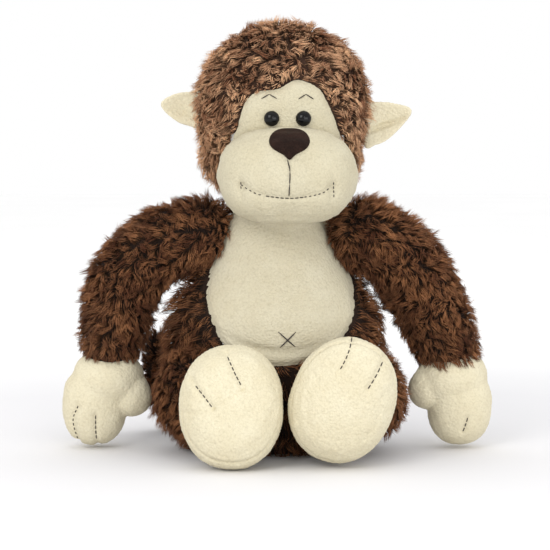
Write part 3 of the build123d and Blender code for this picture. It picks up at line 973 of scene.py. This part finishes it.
mouth_runs = stitches(muzzle_tree, xz(LIP), 9.4, 0.0, 0.45, 0.1)
smile_line = xz(SMILE)
mouth_runs += stitches(muzzle_tree, smile_line[0:18], 2.0, 1.8, 0.15, 0.5)
mouth_runs += stitches(muzzle_tree, smile_line[17:42], 3.0, 0.7, 0.3, 0.4)
mouth_runs += stitches(muzzle_tree, smile_line[41:60], 2.0, 1.6, 0.2, 0.5)
for x, top, low in ((-34.1, 217.0, 208.5), (36.3, 217.0, 204.5)):
    mouth_runs += stitches(muzzle_tree, xz(np.linspace((x, top), (x + 0.4, low), 12)), 2.2, 1.0, 0.1, 0.5)
mouth = cord_mesh("mouth_thread", mouth_runs, 0.42)

brow_runs = []
for corner in (((-18.6, 280.2), (-12.5, 283.7), (-6.6, 280.2)), ((9.9, 279.9), (15.8, 283.7), (21.9, 279.9))):
    for a, b in zip(corner[:-1], corner[1:]):
        brow_runs += stitches(face_tree, xz(np.linspace(a, b, 8)), math.dist(a, b) - 0.02, 1, 0.5, 0.15)
brows = cord_mesh("brow_thread", brow_runs, 0.42)

# eyes: a domed bead with a thin rim
eyes = {}
for side, way in SIDES.items():
    lo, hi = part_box(f"eye_{side}")
    centre = (A(lo) + A(hi)) / 2 / MM
    ex, ez = centre[0], centre[2]
    ey = head_front(A([ex]), A([ez]), SKIN)[0] - 0.2
    rows, around = [], 64
    turn = circle(around)
    profile = [(5.4, 1.4), (5.9, 0.9), (6.05, 0.1), (6.0, -0.7)]
    dome = np.linspace(0.08, math.pi / 2 * 0.985, 18)
    profile += [(5.95 * math.cos(a), -0.8 - 4.3 * math.sin(a)) for a in dome]
    for r, y in profile:
        rows.append(xyz(ex + r * np.cos(turn), np.full(around, ey + y), ez + r * np.sin(turn)))
    eyes[side] = make(f"eye_dome_{side}", np.vstack(rows), tube_faces(len(rows), around))
    face_outwards(eyes[side])
EYE = eye_material()
for side in SIDES:
    dress(eyes[side], EYE)

# nose: a padded patch with side lobes and a pointed foot
NOSE_AT = A([2.9, 246.0])
NOSE = ring_curve(
    ((0, 11.7), (-7, 11.2), (-12.2, 8.8), (-15.2, 4.4), (-15.4, 0.2), (-13, -3.6), (-8.8, -6.3), (-4.4, -8.7))
    + ((0, -12.3), (4.4, -8.7), (8.8, -6.3), (13, -3.6), (15.4, 0.2), (15.2, 4.4), (12.2, 8.8), (7, 11.2)),
    96,
) + NOSE_AT


def nose_front(x, z):
    inner = 1 - ((x - MUZZLE[0]) / MUZZLE_SEMI[0]) ** 2 - ((z - MUZZLE[2]) / (MUZZLE_SEMI[2] + 1.5)) ** 2
    y = MUZZLE[1] - MUZZLE_SEMI[1] * np.sqrt(np.clip(inner, 0.12, 1)) - 1.2
    for i, (a, b) in enumerate(zip(x, z)):
        hit = muzzle_tree.ray_cast(Vector((a, -200, b)), Vector((0, 1, 0)))[0]
        if hit is not None:
            y[i] = min(y[i], hit[1] - 0.2)
    return y


rows = []
for share in np.concatenate([np.linspace(0.03, 0.9, 16), [0.95, 0.985, 1.0]]):
    ring = NOSE_AT + (NOSE - NOSE_AT) * share
    dome = 6.2 * (1 - share**2.6) ** 0.75
    x, z = ring.T
    groove = 1.1 * bell(x - NOSE_AT[0], 1.8) * np.clip((NOSE_AT[1] + 2 - z) / 8, 0, 1)
    rows.append(xyz(x, nose_front(x, z) - dome + groove * (1 - share), z))
for share, back in ((1.0, 2.2), (0.6, 4.5), (0.05, 4.5)):
    ring = NOSE_AT + (NOSE - NOSE_AT) * share
    rows.append(xyz(ring[:, 0], nose_front(ring[:, 0], ring[:, 1]) + back, ring[:, 1]))
nose = make("nose_cover_velboa", np.vstack(rows), [f[::-1] for f in tube_faces(len(rows), len(NOSE))])
face_outwards(nose)
finer(nose)
dress(nose, nose_material())

# ---------------------------------------------------------------- ears


EAR_OUTLINES = {  # out from the root, and up
    "right": ((0, -13.5), (10, -13.2), (20, -9.8), (28, -3.6), (32.2, 2.6))
    + ((30, 7), (21, 11.6), (10, 13.4), (0, 12.6)),
    "left": ((0, -18), (10, -17.5), (20, -12.8), (29, -4), (35.6, 4))
    + ((37.6, 9.6), (33, 13), (22, 15.4), (10, 16.4), (0, 15.6)),
}


def ear(side):
    """A pointed, cupped leaf of two terry layers."""
    way = SIDES[side]
    root = A([HEAD[0] + way * 65.0, -6.0, 273.0 if side == "right" else 262.0])
    outline_ = ring_curve(EAR_OUTLINES[side], 110)
    middle = A([12.0, 0.0])
    front_rows, back_rows = [], []
    for share in np.concatenate([np.linspace(0.02, 0.9, 26), [0.94, 0.975, 1.0]]):
        ring = middle + (outline_ - middle) * share
        u, v = ring[:, 0], ring[:, 1]
        cup = 0.011 * (u - 4) ** 2 * 0.4 - 4.2 * (1 - share**2) * np.clip(u / 14, 0, 1)
        rim = 2.3 * (1 - share**6) ** 0.5
        roll = -0.016 * np.clip(-v, 0, 30) ** 2 if side == "left" else -0.006 * np.clip(-v, 0, 30) ** 2
        fold = v + 8 - 0.34 * u
        crease = (3.4 if side == "left" else 1.4) * bell(fold, 2.4) * (1 - share**4)
        depth = -cup + roll + crease
        for rows_, sign in ((front_rows, -1), (back_rows, 1)):
            rows_.append(xyz(root[0] + way * u, root[1] + depth + sign * rim, root[2] + v))
    rows_ = front_rows + back_rows[::-1][1:]
    ob = make(f"ear_terry_{side}", np.vstack(rows_), tube_faces(len(rows_), len(outline_)))
    face_outwards(ob)
    nap(ob, 0.4, 1.6, 51 + way, 0.5)
    dress(ob, CREAM)
    return ob


ears = {side: ear(side) for side in SIDES}

# ---------------------------------------------------------------- arms

ARMS = {
    "right": ((-70, 0, 171), (-101, 0, 163), (-127, 0, 136), (-136, 0, 104), (-143, 0, 68)),
    "left": ((64, 0, 171), (90, 0, 156), (109, 0, 130), (122, 0, 103), (135, 0, 68)),
}
ARM_RADII = (25.5, 25.5, 25.2, 24.0, 18.5)
CUFF = {"right": 74.0, "left": 66.0}


def limb_comb(line):
    """Along the limb, from its root to its end."""
    tree = kdtree.KDTree(len(line))
    for i, q in enumerate(line):
        tree.insert(q, i)
    tree.balance()
    way = unit(np.gradient(line, axis=0))

    def comb(p, n):
        return way[A([tree.find(q)[1] for q in p])] + A([0, 0, -0.35])

    return comb


arms, arm_piles = {}, {}
for side, way in SIDES.items():
    line = curve(ARMS[side], 60)
    arms[side] = sausage(f"arm_backing_{side}", ARMS[side], ARM_RADII)
    p, n = get(arms[side])
    push = 0.9 * noise(p, 34, 81 + way) + 0.5 * noise(p, 15, 84 + way)
    put(arms[side], p + n * push[:, None])
    dress(arms[side], BODY_BACKING_AND_SHADE)

    def arm_reach(p, n, cuff=CUFF[side]):
        gone = (p[:, 2] < cuff) | in_torso(p, 9)
        return np.where(gone, 0.0, np.clip(0.6 + (p[:, 2] - cuff) / 30, 0.6, 1))

    comb = limb_comb(line)
    arm_piles[side] = pile(
        f"arm_pile_{side}", arms[side], 16000, 12.0, BODY_STRANDS, comb, 91 + way, arm_reach
    )

# ---------------------------------------------------------------- hands

HANDS = {"left": (141.0, 33.0), "right": (-154.0, 33.0)}
THUMB_OUT = {"left": 25.0, "right": 30.0}
THUMB_RISE = {"left": 15.0, "right": 9.0}
hands, finger_threads = {}, {}
for side, way in SIDES.items():
    x, z = HANDS[side]
    pivot = ARMS[side][-1][0]
    less = 0.6 * SLACK
    thumb_at = (x - way * THUMB_OUT[side], -5, z + THUMB_RISE[side])
    forms = [
        globe("palm", 4, super_form((x, -3, z + 0.5), A([26.5, 20, 32.5]) - less, 2.3)),
        globe("thumb", 4, super_form(thumb_at, A([17, 14, 18]) - less, 2.15, (0, way * 20))),
        globe("heel", 4, super_form((pivot, 0, 56), A([28.5, 24.5, 24]) - less, 2.2)),
    ]
    hand = fuse(f"hand_terry_{side}", forms, 1.8, 8)
    puff(hand, less)
    finer(hand)
    p, n = get(hand)
    front = p[:, 1] < 4
    lines = (
        ([(-165.8, 35.7), (-170.2, 23.6), (-166.8, 6.2)], [(-151.5, 28.5), (-151.8, 17), (-151.5, 6.2)])
        if side == "right"
        else ([(146.1, 26.3), (144.6, 20.6), (142.6, 14.9)],)
    )
    lift = np.zeros(len(p))
    for pts in lines:
        groove = curve(pts, 20)
        extended = np.vstack([groove, groove[-1] + A([[0.5, -9]])]) if side == "right" else groove
        near = distance_to(extended, p[:, 0], p[:, 2], closed=False)
        lift += np.where(front, -1.7 * bell(near, 2.4), 0)
    put(hand, p + n * lift[:, None])
    nap(hand, 0.5, 1.8, 101 + way, 0.5)
    p, n = get(hand)
    p[:, 2] = np.maximum(p[:, 2], 0.3)
    put(hand, p)
    dress(hand, CREAM)
    hands[side] = hand
    tree = surface(hand)
    runs = []
    for k, pts in enumerate(lines):
        solid = side == "left" or k == 1
        runs += stitches(tree, xz(curve(pts, 30)), 3.6 if solid else 2.2, 0.5 if solid else 1.6, 0.4, 0.4)
    finger_threads[side] = cord_mesh(f"finger_thread_{side}", runs, 0.42)

# ---------------------------------------------------------------- legs

HIPS = {"left": A([56.0, -38.0, 48.0]), "right": A([-64.0, -38.0, 48.0])}
ANKLES = {"left": A([44.0, -72.0, 46.0]), "right": A([-45.0, -72.0, 44.0])}
legs, leg_piles = {}, {}
for side, way in SIDES.items():
    hip, ankle = HIPS[side], ANKLES[side]
    forms = [
        globe("haunch", 4, super_form(hip + A([way * 1.0, 4, -1]), (33, 32.5, 34), 2.1)),
        sausage("shank", (hip, (hip + ankle) / 2, ankle + A([0, -6, 0])), (27, 25.5, 24), 20, 40),
    ]
    leg = fuse(f"leg_backing_{side}", forms, 3.0, 8)
    p, n = get(leg)
    push = 1.2 * noise(p, 34, 121 + way) + 0.8 * noise(p, 15, 124 + way)
    put(leg, p + n * push[:, None])
    dress(leg, BODY_BACKING_AND_SHADE)
    legs[side] = leg

    def leg_reach(p, n):
        gone = in_torso(p, 9) | (p[:, 1] < -84)
        return np.where(gone, 0.0, np.clip(0.55 + (p[:, 1] + 84) / 24, 0.55, 1))

    def leg_comb(p, n, hip=hip, ankle=ankle):
        return unit(ankle - hip)[None] * 0.6 + A([0, 0, -0.8])

    leg_piles[side] = pile(f"leg_pile_{side}", leg, 11000, 12.0, BODY_STRANDS, leg_comb, 131 + way, leg_reach)

# ---------------------------------------------------------------- feet

FEET = {"left": ((43.5, -100.0, 51.5), (0, 20, 0)), "right": ((-41.2, -100.0, 46.8), (-23, 0, 0))}
feet, toe_threads = {}, {}
TOES = {
    "right": (
        (((-43.9, 85.4), (-38.2, 74), (-31.7, 62.6)), 3.2, 0.6),
        (((-67.7, 64.5), (-61, 57), (-54.1, 48.7)), 3.2, 0.8),
    ),
    "left": (
        (((50.4, 99.5), (46, 87.5), (39.1, 75.1)), 3.2, 0.9),
        (((72.9, 82.1), (67.5, 72.5), (61.3, 63.2)), 3.6, 1.0),
    ),
}
for side, way in SIDES.items():
    centre, tilt = FEET[side]
    foot = globe(f"foot_terry_{side}", 5, super_form(centre, A([40.8, 26.8, 49.5]) - SLACK, 2.15, tilt))
    puff(foot, SLACK)
    finer(foot, 2)
    p, n = get(foot)
    local = (p - A(centre)) @ turned(tilt)
    # the sole's seam, drawn in all round
    lift = -1.5 * bell(local[:, 1] + 9.0, 1.6)
    lift += np.where(local[:, 1] < -9, 0.8, 0)
    front = p[:, 1] < -100
    for line_, _, _ in TOES[side]:
        pts = curve(line_, 20)
        outer = pts[0] + (pts[0] - pts[3]) * 1.5
        near = distance_to(np.vstack([outer, pts]), p[:, 0], p[:, 2], closed=False)
        lift += np.where(front, -1.8 * bell(near, 2.6), 0)
    if side == "right":
        for fold in (((-54.1, 48.7), (-66, 45.5), (-79.8, 43.9)), ((-31.7, 62.6), (-42, 55.6), (-53.4, 50))):
            near = distance_to(curve(fold, 12), p[:, 0], p[:, 2], closed=False)
            lift += np.where(front, -0.9 * bell(near, 1.5), 0)
    put(foot, p + n * lift[:, None])
    nap(foot, 0.55, 1.8, 141 + way, 0.6)
    p, n = get(foot)
    p[:, 2] = np.maximum(p[:, 2], 0.3)
    put(foot, p)
    dress(foot, CREAM)
    feet[side] = foot
    tree = surface(foot)
    runs = []
    for line_, length_, gap_ in TOES[side]:
        runs += stitches(tree, xz(curve(line_, 30)), length_, gap_, 0.35, 0.45)
    toe_threads[side] = cord_mesh(f"toe_thread_{side}", runs, 0.42)

# ---------------------------------------------------------------- tail

TAIL = ((-4, 54, 27), (-12, 80, 18), (-48, 97, 15), (-88, 92, 18))
TAIL += ((-107, 73, 34), (-109, 61, 60), (-107, 58, 78))
tail = sausage("tail_backing", TAIL, (8.5, 7.5, 7.2, 7.2, 7.4, 7.6, 7.4), 80, 28, 7)
p, n = get(tail)
put(tail, p + n * (0.6 * noise(p, 16, 151))[:, None])
dress(tail, BODY_BACKING_AND_SHADE)
tail_pile = pile(
    "tail_pile", tail, 5500, 8.5, BODY_STRANDS, limb_comb(curve(TAIL, 80)), 152, lambda p, n: np.ones(len(p))
)

# ---------------------------------------------------------------- body threads

navel_runs = []
for a, b in (((-5.6, 99.6), (7.9, 87.6)), ((8.3, 99.4), (-4.4, 87.0))):
    navel_runs += stitches(belly_tree, xz(np.linspace(a, b, 12)), math.dist(a, b) - 0.02, 1, 0.75, 0.2)
navel = cord_mesh("navel_thread", navel_runs, 0.5)

torso_tree = surface(torso)
ladder_runs = []
for z in (90, 99, 108, 117, 126):
    rung = xz(((-6.5, z), (-3, z + 2), (0.5, z + 4)))
    ladder_runs += stitches(torso_tree, rung, 7.5, 2, 1.0, 0.2, towards=(0, -1, 0), start=(0, 200, 0))
ladder = cord_mesh("back_seam_thread", ladder_runs, 0.45)

# ---------------------------------------------------------------- bodies, fills and finishes

# each object, the body that carries it, and the CAD nodes it stands for
for ob, body, *nodes in (
    (torso, "torso", "torso_shell"),
    (torso_pile, "torso"),
    (belly, "torso", "belly_panel"),
    (navel, "torso", "navel_stitch"),
    (ladder, "torso", "back_seam_stitches"),
    (head, "head", "head_shell"),
    (face, "head", "face_panel"),
    (muzzle, "head", "muzzle_panel"),
    (nose, "head", "nose_cover", "nose_wadding"),
    (mouth, "head", "mouth_stitch"),
    (brows, "head", "brow_stitches"),
    (head_pile, "head"),
    (tail, "tail", "tail_shell"),
    (tail_pile, "tail"),
):
    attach(ob, body)
    if nodes:
        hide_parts(*nodes)
for side in SIDES:
    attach(eyes[side], "head")
    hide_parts(f"eye_{side}")
    for pieces, body, *nodes in (
        (ears, "ear", "ear_front", "ear_back"),
        (arms, "arm", "arm_shell"),
        (arm_piles, "arm"),
        (hands, "hand", "hand_shell"),
        (finger_threads, "hand", "finger_stitches"),
        (legs, "leg", "leg_shell"),
        (leg_piles, "leg"),
        (feet, "foot", "foot_upper", "foot_sole"),
        (toe_threads, "foot", "toe_stitches"),
    ):
        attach(pieces[side], f"{body}_{side}")
        if nodes:
            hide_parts(*(f"{node}_{side}" for node in nodes))

for side in SIDES:
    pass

for side in SIDES:
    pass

# the pieces inside keep their CAD shapes
FIBRE = filling_material("fibre_fill", (0.86, 0.86, 0.83), 160)
POUCH = filling_material("pouch_cloth", (0.72, 0.7, 0.64), 700)
BEADS = filling_material("bead_fill", (0.8, 0.8, 0.78), 300)
WASHER = filling_material("washer_plastic", (0.75, 0.75, 0.72), 500)
for name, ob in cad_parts.items():
    if ob.hide_render:
        continue
    if name.startswith("eye_washer"):
        dress(ob, WASHER)
    elif name == "pellets":
        dress(ob, BEADS)
    elif name == "pellet_pouch":
        dress(ob, POUCH)
    else:
        dress(ob, FIBRE)

# ---------------------------------------------------------------- floor, light and camera


def floor():
    """A flat sheet of paper, pale grey under the toy and white further away."""
    reach, rows = 6000, 41
    steps = np.linspace(-reach, reach, rows)
    ob = make("floor", [(x, y, -0.3) for y in steps for x in steps], grid_faces(rows, rows, closed=False))
    m, nt, p_ = material("floor_paper")
    tone = texture(nt, "ShaderNodeTexNoise", place(nt), 3, Detail=2.0)
    away = nt.nodes.new("ShaderNodeVectorMath")
    away.operation = "LENGTH"
    nt.links.new(place(nt), away.inputs[0])
    paper = ramp(nt, away.outputs["Value"], [(0.38, (0.82, 0.815, 0.83)), (0.85, (1, 1, 1))])
    wash = ramp(nt, tone.outputs["Fac"], [(0.3, (0.98, 0.98, 0.98)), (0.7, (1, 1, 1))])
    nt.links.new(mix(nt, paper, wash), p_.inputs["Base Color"])
    values(p_, Roughness=0.8, Specular_IOR_Level=0.2)
    dress(ob, m)
    return ob


floor()


def lamp(name, where, aim, size, power, colour=(1, 1, 1)):
    data = bpy.data.lights.new(name, "AREA")
    data.shape = "RECTANGLE"
    data.size, data.size_y = size
    data.energy = power
    data.color = colour
    ob = bpy.data.objects.new(name, data)
    bpy.context.scene.collection.objects.link(ob)
    ob.location = where
    ob.rotation_euler = (Vector(aim) - Vector(where)).to_track_quat("-Z", "Y").to_euler()
    return ob


lamp("key", (-0.8, -1.5, 1.05), (0, 0, 0.16), (0.8, 0.8), 10, (1.0, 0.99, 0.97))
lamp("fill", (0.9, -1.6, 0.35), (0, 0, 0.15), (1.4, 0.6), 8, (0.98, 0.99, 1.0))
lamp("top", (0.0, 0.1, 1.7), (0, 0, 0.1), (1.4, 1.4), 3.5)
lamp("glint", (0.25, -1.5, 0.75), (0, 0, 0.2), (0.09, 0.09), 0.6)
world = bpy.data.worlds.new("studio")
bpy.context.scene.world = world
world.use_nodes = True
world.node_tree.nodes["Background"].inputs["Color"].default_value = (1.0, 1.0, 1.0, 1)
world.node_tree.nodes["Background"].inputs["Strength"].default_value = 1.0

cam = bpy.data.cameras.new("camera")
cam.lens = 129.8
cam.sensor_width = 36
cam.clip_end = 20
camera = bpy.data.objects.new("camera", cam)
bpy.context.scene.collection.objects.link(camera)
target = Vector((-0.00807, 0.0, 0.1394))
rise_angle = math.radians(4.3)
camera.location = target + 1.6 * Vector((0, -math.cos(rise_angle), math.sin(rise_angle)))
camera.rotation_euler = (target - camera.location).to_track_quat("-Z", "Y").to_euler()
bpy.context.scene.camera = camera
bpy.context.scene.view_settings.view_transform = "Standard"
